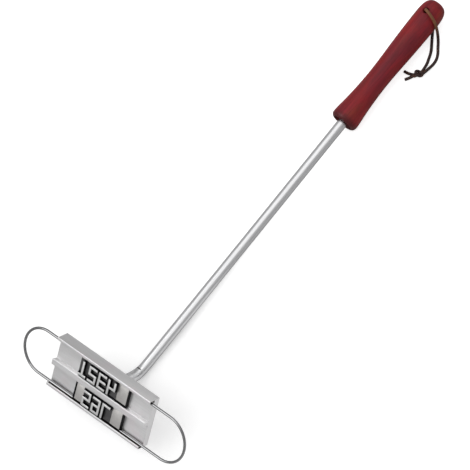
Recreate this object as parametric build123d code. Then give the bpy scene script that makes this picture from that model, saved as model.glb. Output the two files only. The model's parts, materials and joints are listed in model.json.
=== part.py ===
from build123d import *
import os
from math import asin, cos, degrees, pi, radians, sin, tan

# Branding head: an aluminium bar with two type channels and a middle rail
head_length = 100.0
head_height = 46.0
head_depth = 11.5
back_thickness = 6.2
wall_thickness = 2.6
rail_width = 5.4
rail_web = 2.8
rail_flange = 1.4
head_edge_break = 0.3

# Spring wires that lock the type in its channels
wire_diameter = 2.0
wire_seat_depth = 2.9
wire_wall_bite = 0.6
wire_clearance = 0.15
wire_meeting = 4.1
wire_tip_gap = 2.0
left_loop_run = 11.8
right_loop_run = 20.0
wire_tip_break = 0.4

# Type blocks, in two rows of five
tile_pitch = 10.2
tile_gap = 0.1
tile_face_depth = 0.9
tile_clearance = 0.25
tile_rail_gap = 0.5
tile_wall_gap = 0.4
tile_notch_clearance = 0.25
tiles_per_row = 5
row_start = 26.4

# Raised numerals on the type blocks
numeral_height = 15.2
numeral_width = 8.9
numeral_stroke = 2.4
numeral_rise = 2.5
numeral_round = 0.5
numeral_root = 0.2

# Bent stem tube
tube_diameter = 8.5
tube_wall = 1.0
leg_reach = 38.0
bend_radius = 22.0
stem_angle = 43.0
stem_free_length = 260.0

# Stud, nut and washer behind the head
stud_diameter = 6.0
stud_hole_depth = 5.0
stud_hole_clearance = 0.1
stud_in_tube = 14.0
nut_across_flats = 10.0
nut_thickness = 5.0
washer_diameter = 12.0
washer_thickness = 1.2

# Turned wooden handle
handle_length = 125.0
handle_front_radius = 11.6
handle_front_station = 3.6
handle_front_round = 2.7
handle_waist_radius = 9.0
handle_waist_station = 45.0
handle_mid_radius = 9.8
handle_mid_station = 72.0
handle_swell_radius = 10.7
handle_swell_station = 108.0
handle_butt_flat = 3.5
handle_bore_depth = 62.0
handle_bore_clearance = 0.1
handle_recess_radius = 6.9
handle_recess_depth = 2.2
lace_hole_radius = 2.1
lace_hole_from_butt = 12.5
lace_hole_break = 0.7

# Leather lace, with both ends tied in one knot
lace_diameter = 2.5
lace_corner_share = 0.45
knot_core_radius = 2.6
knot_wrap_radius = 2.3
knot_wraps = 3
knot_wrap_pitch = 2.3
knot_wrap_lean = 14.0

# Places that follow from the sizes above
mid_height = head_height / 2
floor_depth = head_depth - back_thickness
channel_height = mid_height - wall_thickness - rail_width / 2
wire_spread = mid_height - wall_thickness - wire_diameter / 2 + wire_wall_bite
wire_radius = wire_diameter / 2
tube_radius = tube_diameter / 2
tube_bore_radius = tube_radius - tube_wall
nut_face = head_depth + washer_thickness
leg_start = nut_face + nut_thickness
corner_depth = head_depth + leg_reach
bend_tangent = bend_radius * tan(radians(stem_angle / 2))
flare_reach = stem_free_length + handle_front_station - bend_tangent
lie_angle = degrees(asin((handle_front_radius - tube_radius) / flare_reach))
head_lean = stem_angle - lie_angle
lace_hole_station = handle_length - lace_hole_from_butt

# Bars that draw each block numeral, named by their place in its box
numeral_bars = {
    "1": ["middle_upright", "foot"],
    "2": ["top", "upper_right", "waist", "lower_left", "foot"],
    "3": ["top", "upper_right", "waist", "lower_right", "foot"],
    "4": ["upper_left", "waist", "upper_right", "lower_right"],
    "5": ["top", "upper_left", "waist", "lower_right", "foot"],
    "6": ["top", "upper_left", "lower_left", "waist", "lower_right", "foot"],
    "7": ["top", "upper_right", "lower_right"],
}
upper_row = ["1", "2", "3", "4", None]
lower_row = [None, "5", "6", "7", None]

# The lace's route: two strands from the hole to the knot, and two short tails
upper_strand_points = [
    (-4.1, 205.72, 22.75),
    (-4.1, 205.62, 26.15),
    (-2.2, 204.95, 28.0),
    (1.9, 203.75, 27.9),
    (7.7, 201.85, 21.6),
    (9.1, 199.55, 11.2),
    (11.2, 195.45, 3.8),
    (13.3, 191.45, 1.3),
    (17.4, 186.65, 1.3),
    (19.9, 181.05, 1.3),
    (20.2, 174.25, 2.0),
    (19.2, 165.65, 3.6),
]
lower_strand_points = [
    (-4.1, 206.14, 8.25),
    (-4.1, 206.25, 4.45),
    (-2.3, 204.75, 2.0),
    (0.5, 200.05, 1.3),
    (6.4, 191.85, 1.3),
    (11.2, 185.45, 1.3),
    (13.8, 178.85, 1.3),
    (15.9, 173.85, 1.6),
    (17.2, 166.65, 3.0),
]
upper_tail_points = [(14.4, 161.55, 3.2), (9.2, 159.45, 1.6), (3.9, 159.65, 1.3)]
lower_tail_points = [(14.2, 161.05, 3.2), (11.6, 157.05, 1.7), (9.0, 154.15, 1.3)]
knot_start_point = (17.8, 165.45, 3.6)
knot_end_point = (14.4, 161.55, 3.6)


def head_extrusion():
    """The bar: back plate, two outer walls and a T-shaped middle rail."""
    section = Pos(head_depth / 2, mid_height) * Rectangle(head_depth, head_height)
    undercut_depth = floor_depth - rail_flange
    for side in (-1, 1):
        channel_z = mid_height + side * (rail_width + channel_height) / 2
        section -= Pos(floor_depth / 2, channel_z) * Rectangle(floor_depth, channel_height)
        undercut_z = mid_height + side * (rail_width + rail_web) / 4
        undercut = Rectangle(undercut_depth, (rail_width - rail_web) / 2)
        section -= Pos(rail_flange + undercut_depth / 2, undercut_z) * undercut
        groove = Circle(wire_radius + wire_clearance)
        section -= Pos(wire_seat_depth, mid_height + side * wire_spread) * groove
    bar = extrude(Plane.YZ * section, amount=head_length / 2, both=True)
    outer = bar.edges().filter_by(Axis.X).filter_by(is_outer_corner)
    bar = chamfer(outer, head_edge_break)
    hole = Cylinder(stud_diameter / 2 + stud_hole_clearance, stud_hole_depth)
    hole_y = head_depth - stud_hole_depth / 2
    return bar - Pos(0, hole_y, mid_height) * Rot(90, 0, 0) * hole


def is_outer_corner(edge):
    """True for the four long outside corners of the bar."""
    centre = edge.center()
    at_face = min(abs(centre.Y), abs(centre.Y - head_depth)) < head_edge_break
    at_side = min(abs(centre.Z), abs(centre.Z - head_height)) < head_edge_break
    return at_face and at_side


def retaining_wire(side, loop_run):
    """A wire bent to a U, its legs in the grooves and its loop past the bar's end."""
    bend_x = side * (head_length / 2 + loop_run)
    tip_x = wire_meeting + side * wire_tip_gap / 2
    low = mid_height - wire_spread
    high = mid_height + wire_spread
    apex_x = bend_x + side * wire_spread
    first_leg = Line((tip_x, wire_seat_depth, low), (bend_x, wire_seat_depth, low))
    loop = ThreePointArc(
        (bend_x, wire_seat_depth, low),
        (apex_x, wire_seat_depth, mid_height),
        (bend_x, wire_seat_depth, high),
    )
    last_leg = Line((bend_x, wire_seat_depth, high), (tip_x, wire_seat_depth, high))
    route = Wire([first_leg, loop, last_leg])
    start = Plane(origin=route @ 0, z_dir=route % 0)
    wire = sweep(start * Circle(wire_radius), path=route)
    rims = wire.edges().filter_by(GeomType.CIRCLE)
    tips = rims.filter_by(lambda rim: abs(rim.center().X - tip_x) < wire_radius)
    return chamfer(tips, wire_tip_break)


def bar_box(name):
    """Centre and size of one numeral bar, from its place in the numeral's box."""
    side_x = (numeral_width - numeral_stroke) / 2
    end_z = (numeral_height - numeral_stroke) / 2
    half_upright = (numeral_height + numeral_stroke) / 2
    upright_z = (numeral_height - half_upright) / 2
    boxes = {
        "top": (0, end_z, numeral_width, numeral_stroke),
        "waist": (0, 0, numeral_width, numeral_stroke),
        "foot": (0, -end_z, numeral_width, numeral_stroke),
        "upper_left": (-side_x, upright_z, numeral_stroke, half_upright),
        "upper_right": (side_x, upright_z, numeral_stroke, half_upright),
        "lower_left": (-side_x, -upright_z, numeral_stroke, half_upright),
        "lower_right": (side_x, -upright_z, numeral_stroke, half_upright),
        "middle_upright": (0, 0, numeral_stroke, numeral_height),
    }
    return boxes[name]


def numeral_outline(numeral):
    """A block numeral drawn mirrored, so that it marks the right way round."""
    outline = Sketch()
    for name in numeral_bars[numeral]:
        x, z, width, height = bar_box(name)
        outline += Pos(-x, z) * Rectangle(width, height)
    return fillet(outline.vertices(), numeral_round)


def type_block(index, row_side, numeral):
    """One block of type: a notched plate, with its numeral standing on its face."""
    back = floor_depth - tile_clearance
    face_edge = rail_width / 2 + tile_rail_gap
    lip_edge = rail_web / 2 + tile_clearance
    lip_depth = rail_flange + tile_clearance
    outer_edge = mid_height - wall_thickness - tile_wall_gap
    plate = Pos((tile_face_depth + back) / 2, (face_edge + outer_edge) / 2)
    section = plate * Rectangle(back - tile_face_depth, outer_edge - face_edge)
    lip = Pos((lip_depth + back) / 2, (lip_edge + face_edge) / 2)
    section += lip * Rectangle(back - lip_depth, face_edge - lip_edge)
    notch = Circle(wire_radius + tile_notch_clearance)
    section -= Pos(wire_seat_depth, wire_spread) * notch
    if row_side < 0:
        section = mirror(section, about=Plane.XZ)
    width = tile_pitch - tile_gap
    block = extrude(Plane.YZ * section, amount=width / 2, both=True)
    if numeral:
        centre_z = row_side * (face_edge + outer_edge) / 2
        face = Plane(
            origin=(0, tile_face_depth + numeral_root, centre_z),
            x_dir=(1, 0, 0),
            z_dir=(0, -1, 0),
        )
        block += extrude(face * numeral_outline(numeral), amount=numeral_rise + numeral_root)
    x = -head_length / 2 + row_start + (index + 0.5) * tile_pitch
    return Pos(x, 0, mid_height) * block


def stem_tube():
    """A tube that leaves the head's back, bends once and runs into the handle."""
    run = stem_free_length + handle_bore_depth - handle_bore_clearance
    end_y = corner_depth + run * cos(radians(stem_angle))
    end_z = mid_height + run * sin(radians(stem_angle))
    route = FilletPolyline(
        (0, leg_start, mid_height),
        (0, corner_depth, mid_height),
        (0, end_y, end_z),
        radius=bend_radius,
    )
    start = Plane(origin=route @ 0, z_dir=route % 0)
    tube = sweep(start * Circle(tube_radius), path=route)
    return tube - sweep(start * Circle(tube_bore_radius), path=route)


def along_leg(shape, start, length):
    """A round piece stood along the stem's first leg, from a given depth."""
    return Pos(0, start + length / 2, mid_height) * Rot(90, 0, 0) * shape


def head_stud():
    """A stud fixed in the tube's end, screwed into the back of the head."""
    start = head_depth - stud_hole_depth + stud_hole_clearance
    length = leg_start + stud_in_tube - start
    return along_leg(Cylinder(stud_diameter / 2, length), start, length)


def jam_nut():
    """A hexagon nut that locks the stud against the head."""
    corner_radius = nut_across_flats / 2 / cos(radians(30))
    blank = extrude(RegularPolygon(corner_radius, 6), amount=nut_thickness / 2, both=True)
    bore = Cylinder(stud_diameter / 2 + stud_hole_clearance, nut_thickness)
    return along_leg(blank - bore, nut_face, nut_thickness)


def lock_washer():
    """A plain ring under the nut."""
    ring = Cylinder(washer_diameter / 2, washer_thickness)
    ring -= Cylinder(stud_diameter / 2 + 2 * stud_hole_clearance, washer_thickness)
    return along_leg(ring, head_depth, washer_thickness)


def on_stem(shape):
    """Move a shape made along Y from the origin to the handle's front end."""
    reach = stem_free_length
    y = corner_depth + reach * cos(radians(stem_angle))
    z = mid_height + reach * sin(radians(stem_angle))
    return Pos(0, y, z) * Rot(stem_angle, 0, 0) * shape


def handle():
    """A waisted grip, bored for the stem and drilled across for the lace."""
    bore_radius = tube_radius + handle_bore_clearance
    butt_start = handle_swell_station
    curve = Spline(
        (handle_front_radius, handle_front_station),
        (handle_waist_radius, handle_waist_station),
        (handle_mid_radius, handle_mid_station),
        (handle_swell_radius, butt_start),
        tangents=((0, 1), (0, 1)),
    )
    shoulder_x = handle_front_radius - handle_front_round
    shoulder = Line((bore_radius, 0), (shoulder_x, 0))
    corner = Spline(
        (shoulder_x, 0),
        (handle_front_radius, handle_front_station),
        tangents=((1, 0), (0, 1)),
    )
    butt = Spline(
        (handle_swell_radius, butt_start),
        (handle_butt_flat, handle_length),
        tangents=((0, 1), (-1, 0)),
    )
    butt_flat = Line((handle_butt_flat, handle_length), (0, handle_length))
    core_line = Line((0, handle_length), (0, handle_bore_depth))
    bore_end = Line((0, handle_bore_depth), (bore_radius, handle_bore_depth))
    bore_side = Line((bore_radius, handle_bore_depth), (bore_radius, 0))
    lines = [shoulder, corner, curve, butt, butt_flat, core_line, bore_end, bore_side]
    grip = revolve(make_face(lines), axis=Axis.Y)
    grip -= front_recess(bore_radius)
    return on_stem(grip - lace_hole())


def front_recess(bore_radius):
    """The dished ring round the stem at the handle's front end."""
    dish = Cone(handle_recess_radius, bore_radius, handle_recess_depth)
    return Pos(0, handle_recess_depth / 2, 0) * Rot(-90, 0, 0) * dish


def lace_hole():
    """The cross hole near the butt, opened out at both mouths."""
    hole = Cylinder(lace_hole_radius, 3 * handle_swell_radius)
    flare = 3 * lace_hole_break
    mouth = Cone(lace_hole_radius, lace_hole_radius + flare, flare)
    mouth_middle = handle_swell_radius + lace_hole_break - flare / 2
    for turn in (0, 180):
        hole += Rot(turn, 0, 0) * Pos(0, 0, mouth_middle) * mouth
    return Pos(0, lace_hole_station, 0) * hole


def corner_radii(points):
    """The largest arc that each inner point of a route has room for."""
    radii = []
    for before, corner, after in zip(points, points[1:], points[2:]):
        run_in = Vector(*corner) - Vector(*before)
        run_out = Vector(*after) - Vector(*corner)
        room = lace_corner_share * min(run_in.length, run_out.length)
        radii.append(room / tan(radians(run_in.get_angle(run_out) / 2)))
    return radii


def lace_tube(name, points):
    """A round lace along straight runs joined by arcs."""
    radii = corner_radii(points)
    route = FilletPolyline(*points, radius=radii) if radii else Line(*points)
    start = Plane(origin=route @ 0, z_dir=route % 0)
    tube = sweep(start * Circle(lace_diameter / 2), path=route)
    section = pi * lace_diameter**2 / 4
    print(name, "radii", [round(radius, 1) for radius in radii])
    filled = tube.volume / (section * route.length)
    print(name, "length", round(route.length, 1), "share of section times length", round(filled, 4))
    return tube


def lace_knot():
    """The tied ends: a short core with leaning wraps round it."""
    start = Vector(*knot_start_point)
    end = Vector(*knot_end_point)
    reach = (end - start).length
    knot = Cylinder(knot_core_radius, reach)
    for side in (-1, 1):
        knot += Pos(0, 0, side * reach / 2) * Sphere(knot_core_radius)
    for index in range(knot_wraps):
        place = Pos(0, 0, (index - (knot_wraps - 1) / 2) * knot_wrap_pitch)
        knot += place * Rot(knot_wrap_lean, 0, 0) * Torus(knot_wrap_radius, lace_diameter / 2)
    return Plane(origin=(start + end) / 2, z_dir=end - start) * knot


def lace_pieces():
    """The lace as it lies: two strands, the part in the hole, a knot and two tails."""
    knot = lace_knot()
    through_points = [upper_strand_points[0], lower_strand_points[0]]
    lower_tail = lace_tube("lower tail", lower_tail_points) - knot
    upper_tail = lace_tube("upper tail", upper_tail_points) - knot - lower_tail
    return {
        "lace_upper_strand": lace_tube("upper strand", upper_strand_points) - knot,
        "lace_lower_strand": lace_tube("lower strand", lower_strand_points) - knot,
        "lace_in_hole": lace_tube("in the hole", through_points),
        "lace_knot": knot,
        "lace_upper_tail": upper_tail,
        "lace_lower_tail": lower_tail,
    }


def lay_down(shape):
    """Turn a piece from the head's own frame to the pose in which the iron lies."""
    return Rot(-head_lean, 0, 0) * shape


def rigid_pieces():
    """Every piece but the lace, in the head's own frame."""
    pieces = {
        "head_extrusion": head_extrusion(),
        "left_retaining_wire": retaining_wire(-1, left_loop_run),
        "right_retaining_wire": retaining_wire(1, right_loop_run),
        "stem_tube": stem_tube(),
        "head_stud": head_stud(),
        "jam_nut": jam_nut(),
        "lock_washer": lock_washer(),
        "handle": handle(),
    }
    for index in range(tiles_per_row):
        kind = "type" if upper_row[index] else "blank"
        pieces[f"upper_{kind}_{index + 1}"] = type_block(index, 1, upper_row[index])
        kind = "type" if lower_row[index] else "blank"
        pieces[f"lower_{kind}_{index + 1}"] = type_block(index, -1, lower_row[index])
    return pieces


def standing_shift(pieces):
    """The move that stands the pieces on the ground with their middle at the origin."""
    boxes = [shape.bounding_box() for shape in pieces]
    mid_x = (min(box.min.X for box in boxes) + max(box.max.X for box in boxes)) / 2
    mid_y = (min(box.min.Y for box in boxes) + max(box.max.Y for box in boxes)) / 2
    return Pos(-mid_x, -mid_y, -min(box.min.Z for box in boxes))


def main():
    os.makedirs("parts", exist_ok=True)
    pieces = {name: lay_down(shape) for name, shape in rigid_pieces().items()}
    shift = standing_shift(pieces.values())
    for name, shape in pieces.items():
        export_step(shift * shape, f"parts/{name}.step")
    for name, shape in lace_pieces().items():
        export_step(shape, f"parts/{name}.step")
    print("shift", shift.position)
    print("lean", head_lean, "lie", lie_angle)


main()
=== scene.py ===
import json
from math import cos, pi, radians, sin, sqrt, tan

import bmesh
import bpy
from bpy.props import FloatProperty, FloatVectorProperty, IntProperty, PointerProperty
from bpy.types import Operator, Panel, PropertyGroup
from mathutils import Matrix, Vector


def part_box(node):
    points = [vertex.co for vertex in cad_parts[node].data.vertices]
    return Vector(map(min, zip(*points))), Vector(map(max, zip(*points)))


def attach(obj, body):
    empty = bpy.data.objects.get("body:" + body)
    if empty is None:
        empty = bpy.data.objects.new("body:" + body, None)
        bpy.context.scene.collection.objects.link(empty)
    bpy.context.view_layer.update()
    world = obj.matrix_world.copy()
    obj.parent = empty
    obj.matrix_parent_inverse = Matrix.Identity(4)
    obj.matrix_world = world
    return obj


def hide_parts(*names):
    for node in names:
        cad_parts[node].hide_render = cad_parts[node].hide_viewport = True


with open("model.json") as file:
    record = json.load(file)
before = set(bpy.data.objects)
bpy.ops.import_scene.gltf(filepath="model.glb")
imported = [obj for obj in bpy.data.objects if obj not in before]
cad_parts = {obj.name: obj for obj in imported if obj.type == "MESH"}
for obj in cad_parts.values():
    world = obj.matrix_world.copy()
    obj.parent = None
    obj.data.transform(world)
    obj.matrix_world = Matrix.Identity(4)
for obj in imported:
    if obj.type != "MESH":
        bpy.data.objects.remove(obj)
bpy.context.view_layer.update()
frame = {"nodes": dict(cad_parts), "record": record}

bl_info = {
    "name": "Branding Iron",
    "version": (1, 0, 0),
    "blender": (4, 5, 0),
    "location": "3D View > Sidebar > Branding Iron",
    "description": "Models and finishes a barbecue branding iron with changeable type",
    "category": "Object",
}

MM = 0.001
BODY = "iron"

# Places that the frame gives: the head's own axes, the stem's and the handle's
MOUNTS = {mount["name"]: mount for mount in frame["record"]["mounts"]}
ACROSS = Vector((1, 0, 0))
HEAD_UP = -Vector(MOUNTS["head_lower_side"]["axis"])
HEAD_BACK = HEAD_UP.cross(ACROSS)
STEM_WAY = Vector(MOUNTS["stem_grip"]["axis"])
STEM_UP = ACROSS.cross(STEM_WAY)
STEM_POINT = Vector(MOUNTS["stem_grip"]["pos_m"])


def axes_at(along, up, origin):
    """A matrix with its Y, Z and origin given."""
    turn = Matrix((along.cross(up), along, up)).transposed().to_4x4()
    return Matrix.Translation(origin) @ turn


def reach_along(node, origin, way):
    """How far a node's mesh reaches from a point, back and forward along a direction."""
    places = [(vertex.co - origin).dot(way) for vertex in frame["nodes"][node].data.vertices]
    return min(places), max(places)


BAR_LOW, BAR_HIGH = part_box("head_extrusion")
BAR_MIDDLE = (BAR_LOW + BAR_HIGH) / 2
BAR_FACE, BAR_BACK = reach_along("head_extrusion", BAR_MIDDLE, HEAD_BACK)
BAR_BOTTOM, BAR_TOP = reach_along("head_extrusion", BAR_MIDDLE, HEAD_UP)
BAR_DEPTH = BAR_BACK - BAR_FACE
BAR_LENGTH = BAR_HIGH.x - BAR_LOW.x
HEAD = axes_at(HEAD_BACK, HEAD_UP, BAR_MIDDLE + HEAD_BACK * BAR_FACE)
HANDLE_FRONT, HANDLE_BUTT = reach_along("handle", STEM_POINT, STEM_WAY)
HANDLE = axes_at(STEM_WAY, STEM_UP, STEM_POINT + STEM_WAY * HANDLE_FRONT)


class IronSizes(PropertyGroup):
    """Sizes that a maker would change."""

    def length(title, words, value):
        return FloatProperty(name=title, description=words, default=value * MM, subtype="DISTANCE", unit="LENGTH")

    back_thickness: length("Back thickness", "Thickness of the bar behind the channels", 6.2)
    wall_thickness: length("Wall thickness", "Thickness of the bar's two outer walls", 2.6)
    rail_width: length("Rail width", "Width of the middle rail at its face", 5.4)
    rail_web: length("Rail web", "Width of the middle rail below its flange", 2.8)
    rail_flange: length("Rail flange", "Depth of the middle rail's flange", 1.4)
    edge_round: length("Edge round", "Rounding of the bar's edges", 0.3)
    wire_diameter: length("Wire diameter", "Diameter of the spring wires", 2.25)
    wire_seat: length("Wire seat", "Depth of the wires behind the bar's face", 2.9)
    wire_spread: length("Wire spread", "Distance of a wire's legs from the bar's middle", 20.0)
    groove_clearance: length("Groove clearance", "Gap between a wire and its groove", 0.15)
    numeral_height: length("Numeral height", "Height of the raised numerals", 14.6)
    numeral_width: length("Numeral width", "Width of the raised numerals", 8.9)
    numeral_stroke: length("Numeral stroke", "Width of a numeral's strokes", 2.5)
    numeral_rise: length("Numeral rise", "Height of a numeral above its block", 2.5)
    numeral_draft: length("Numeral draft", "How much a numeral narrows towards its top", 0.18)
    numeral_round: length("Numeral round", "Rounding of a numeral's top edges", 0.28)
    stem_diameter: length("Stem diameter", "Outer diameter of the bent tube", 8.5)
    stem_wall: length("Stem wall", "Wall of the bent tube", 1.0)
    bend_radius: length("Bend radius", "Radius of the bend on the tube's middle line", 22.0)
    crease_depth: length("Crease depth", "Depth of the crease inside the bend", 0.75)
    lace_diameter: length("Lace diameter", "Diameter of the leather lace", 2.5)
    lace_hole: length("Lace hole", "Radius of the cross hole in the handle", 2.4)


class IronColours(PropertyGroup):
    """Colours that a maker would change."""

    def colour(title, words, value):
        return FloatVectorProperty(name=title, description=words, default=value, size=4, subtype="COLOR", min=0, max=1)

    head: colour("Head", "Aluminium of the bar", (0.74, 0.735, 0.738, 1))
    type_plate: colour("Type plates", "Aluminium of the type blocks", (0.6, 0.585, 0.57, 1))
    # Painted shade on the field round the raised numerals.
    type_patina: colour("Type patina", "Dark cast skin round the numerals", (0.1, 0.098, 0.1, 1))
    # Painted shade: near-black for the sides of the numerals and blocks, and for their deeper faces, where shade falls.
    type_side: colour("Type sides", "Dark cast sides of the numerals", (0.012, 0.012, 0.014, 1))
    type_top: colour("Type tops", "Worn tops of the numerals", (0.78, 0.78, 0.78, 1))
    stem: colour("Stem", "Polished steel of the bent tube", (0.7, 0.7, 0.71, 1))
    wire: colour("Wires", "Dark polished steel of the spring wires", (0.24, 0.24, 0.245, 1))
    # Painted shade inside the wire grooves and the stem's crease.
    groove: colour("Grooves", "Dark skin inside the wire grooves", (0.03, 0.024, 0.022, 1))
    fastener: colour("Fasteners", "Plated steel of the nut, washer and stud", (0.5, 0.5, 0.51, 1))
    wood_red: colour("Wood red", "Red of the stained wood", (0.28, 0.012, 0.014, 1))
    wood_dark: colour("Wood dark", "Dark grain of the stained wood", (0.05, 0.006, 0.007, 1))
    wood_purple: colour("Wood purple", "Purple tint in the stained wood", (0.19, 0.012, 0.022, 1))
    wood_orange: colour("Wood orange", "Orange brown patches in the stained wood", (0.24, 0.035, 0.018, 1))
    leather: colour("Leather", "Dark brown of the lace", (0.028, 0.011, 0.009, 1))
    leather_worn: colour("Worn leather", "Warm brown of the lace where it is rubbed", (0.19, 0.075, 0.028, 1))
    floor: colour("Floor", "Pale floor under the iron", (0.52, 0.52, 0.52, 1))


def sizes():
    return bpy.context.scene.iron_sizes


def colours():
    return bpy.context.scene.iron_colours


def clear_selection():
    if bpy.context.mode != "OBJECT":
        bpy.ops.object.mode_set(mode="OBJECT")
    bpy.ops.object.select_all(action="DESELECT")


def make_active(piece):
    clear_selection()
    piece.select_set(True)
    bpy.context.view_layer.objects.active = piece


def open_mesh(piece, kind="FACE"):
    make_active(piece)
    bpy.ops.object.mode_set(mode="EDIT")
    bpy.ops.mesh.select_mode(type=kind)


def close_mesh(merge=0.001 * MM):
    """Merges doubled vertices, turns the faces outwards and leaves edit mode."""
    bpy.ops.mesh.select_all(action="SELECT")
    bpy.ops.mesh.remove_doubles(threshold=merge)
    bpy.ops.mesh.normals_make_consistent(inside=False)
    bpy.ops.object.mode_set(mode="OBJECT")


def pick(piece, parts, test):
    """Selects the faces, edges or vertices that pass a test."""
    bpy.ops.mesh.select_all(action="DESELECT")
    mesh = bmesh.from_edit_mesh(piece.data)
    mesh.normal_update()
    for part in getattr(mesh, parts):
        part.select_set(bool(test(part)))
    mesh.select_flush_mode()
    bmesh.update_edit_mesh(piece.data)


def push_out(x=0, y=0, z=0):
    """Extrudes what is selected and moves it."""
    bpy.ops.mesh.extrude_region_move(TRANSFORM_OT_translate={"value": (x, y, z)})


def block(name, low, high):
    """A box between two corners, at the origin of its own axes."""
    clear_selection()
    low, high = Vector(low), Vector(high)
    bpy.ops.mesh.primitive_cube_add(size=1, location=(low + high) / 2)
    piece = bpy.context.active_object
    piece.name = piece.data.name = name
    piece.scale = high - low
    bpy.ops.object.transform_apply(location=True, rotation=True, scale=True)
    return piece


def bisect(piece, way, levels, test=lambda face: True):
    """Cuts the faces that pass a test at some levels along an axis."""
    for level in levels:
        pick(piece, "faces", test)
        bpy.ops.mesh.bisect(plane_co=Vector(way) * level, plane_no=way)


def turned(name, outline, sides, hollow=False):
    """A piece turned about Y from an outline of places along Y and radii."""
    clear_selection()
    station, radius = outline[0]
    bpy.ops.mesh.primitive_circle_add(vertices=sides, radius=radius, location=(0, station, 0), rotation=(pi / 2, 0, 0))
    piece = bpy.context.active_object
    piece.name = piece.data.name = name
    bpy.ops.object.transform_apply(location=True, rotation=True, scale=True)
    open_mesh(piece, "EDGE")
    bpy.ops.mesh.select_all(action="SELECT")
    for next_station, next_radius in outline[1:]:
        push_out(y=next_station - station)
        share = next_radius / radius
        bpy.ops.transform.resize(value=(share, 1, share), center_override=(0, next_station, 0))
        station, radius = next_station, next_radius
    if not hollow:
        bpy.ops.mesh.select_all(action="SELECT")
        bpy.ops.mesh.fill_holes(sides=0)
    close_mesh()
    return piece


def bent_tube(name, start, way, radius, sides, moves):
    """A tube that runs straight and turns. A turn has its centre, axis, angle and steps."""
    clear_selection()
    way = Vector(way)
    tilt = way.to_track_quat("Z", "Y").to_euler()
    bpy.ops.mesh.primitive_circle_add(vertices=sides, radius=radius, location=start, rotation=tilt)
    piece = bpy.context.active_object
    piece.name = piece.data.name = name
    bpy.ops.object.transform_apply(location=True, rotation=True, scale=True)
    open_mesh(piece, "EDGE")
    bpy.ops.mesh.select_all(action="SELECT")
    for move in moves:
        if "run" in move:
            push_out(*(way * move["run"]))
            continue
        bpy.ops.mesh.spin(steps=move["steps"], angle=-move["angle"], center=move["centre"], axis=move["axis"])
        way = Matrix.Rotation(move["angle"], 3, move["axis"]) @ way
    bpy.ops.mesh.select_all(action="SELECT")
    bpy.ops.mesh.fill_holes(sides=0)
    close_mesh()
    return piece


def round_rims(piece, offset, segments=2):
    """Rounds the rims where a cap meets a tube's side."""
    open_mesh(piece, "EDGE")
    pick(piece, "edges", lambda edge: len(edge.link_faces) == 2 and edge.calc_face_angle() > radians(60))
    bpy.ops.mesh.bevel(offset=offset, segments=segments)
    close_mesh()


def modify(piece, kind, **settings):
    """Adds a modifier and applies it."""
    make_active(piece)
    modifier = piece.modifiers.new(kind.title(), kind)
    for key, value in settings.items():
        setattr(modifier, key, value)
    bpy.ops.object.modifier_apply(modifier=modifier.name)


def cut_away(piece, cutter):
    """Cuts one piece out of another and removes the cutter."""
    modify(piece, "BOOLEAN", operation="DIFFERENCE", solver="EXACT", object=cutter)
    bpy.data.objects.remove(cutter)


def across_cylinder(name, radius, length, y, z, sides=32):
    """A cylinder along X."""
    clear_selection()
    bpy.ops.mesh.primitive_cylinder_add(vertices=sides, radius=radius, depth=length, location=(0, y, z), rotation=(0, pi / 2, 0))
    piece = bpy.context.active_object
    piece.name = name
    bpy.ops.object.transform_apply(location=True, rotation=True, scale=True)
    return piece


def settle(piece, place, body, materials, nodes, angle=35):
    """Puts a finished piece where it belongs and says what it rides on and stands for."""
    make_active(piece)
    piece.matrix_world = place
    bpy.ops.object.transform_apply(location=True, rotation=True, scale=True)
    bpy.ops.object.shade_smooth_by_angle(angle=radians(angle))
    for material in materials:
        if material.name not in piece.data.materials:
            piece.data.materials.append(material)
    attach(piece, body)
    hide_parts(*nodes)
    return piece


# Materials

def add_node(tree, kind, **settings):
    """Adds a shader node. Settings that name an input are set there."""
    node = tree.nodes.new("ShaderNode" + kind)
    for key, value in settings.items():
        if hasattr(node, key):
            setattr(node, key, value)
        else:
            node.inputs[key.replace("_", " ").title()].default_value = value
    return node


def new_surface(name, colour, metallic, roughness, extra=()):
    """A principled material with its plain values set on the shader itself."""
    material = bpy.data.materials.new(name)
    material.use_nodes = True
    shader = material.node_tree.nodes["Principled BSDF"]
    shader.inputs["Base Color"].default_value = colour
    shader.inputs["Metallic"].default_value = metallic
    shader.inputs["Roughness"].default_value = roughness
    for key, value in extra:
        shader.inputs[key].default_value = value
    return material, material.node_tree, shader


def stretched(tree, stretch, turn=(0, 0, 0)):
    """Object coordinates, turned and stretched."""
    place = add_node(tree, "TexCoord")
    mapping = add_node(tree, "Mapping")
    mapping.inputs["Rotation"].default_value = turn
    mapping.inputs["Scale"].default_value = stretch
    tree.links.new(place.outputs["Object"], mapping.inputs["Vector"])
    return mapping.outputs["Vector"]


def speckle(tree, vector, scale, detail=4.0, roughness=0.5, distortion=0.0):
    """Noise from 0 to 1 on given coordinates."""
    noise = add_node(tree, "TexNoise")
    noise.inputs["Scale"].default_value = scale
    noise.inputs["Detail"].default_value = detail
    noise.inputs["Roughness"].default_value = roughness
    noise.inputs["Distortion"].default_value = distortion
    tree.links.new(vector, noise.inputs["Vector"])
    return noise.outputs["Fac"]


def ramp(tree, value, low, high, low_level=0.0, high_level=1.0):
    """A value rescaled between two levels, clamped."""
    scaled = add_node(tree, "MapRange")
    scaled.inputs["From Min"].default_value = low
    scaled.inputs["From Max"].default_value = high
    scaled.inputs["To Min"].default_value = low_level
    scaled.inputs["To Max"].default_value = high_level
    tree.links.new(value, scaled.inputs["Value"])
    return scaled.outputs["Result"]


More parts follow.
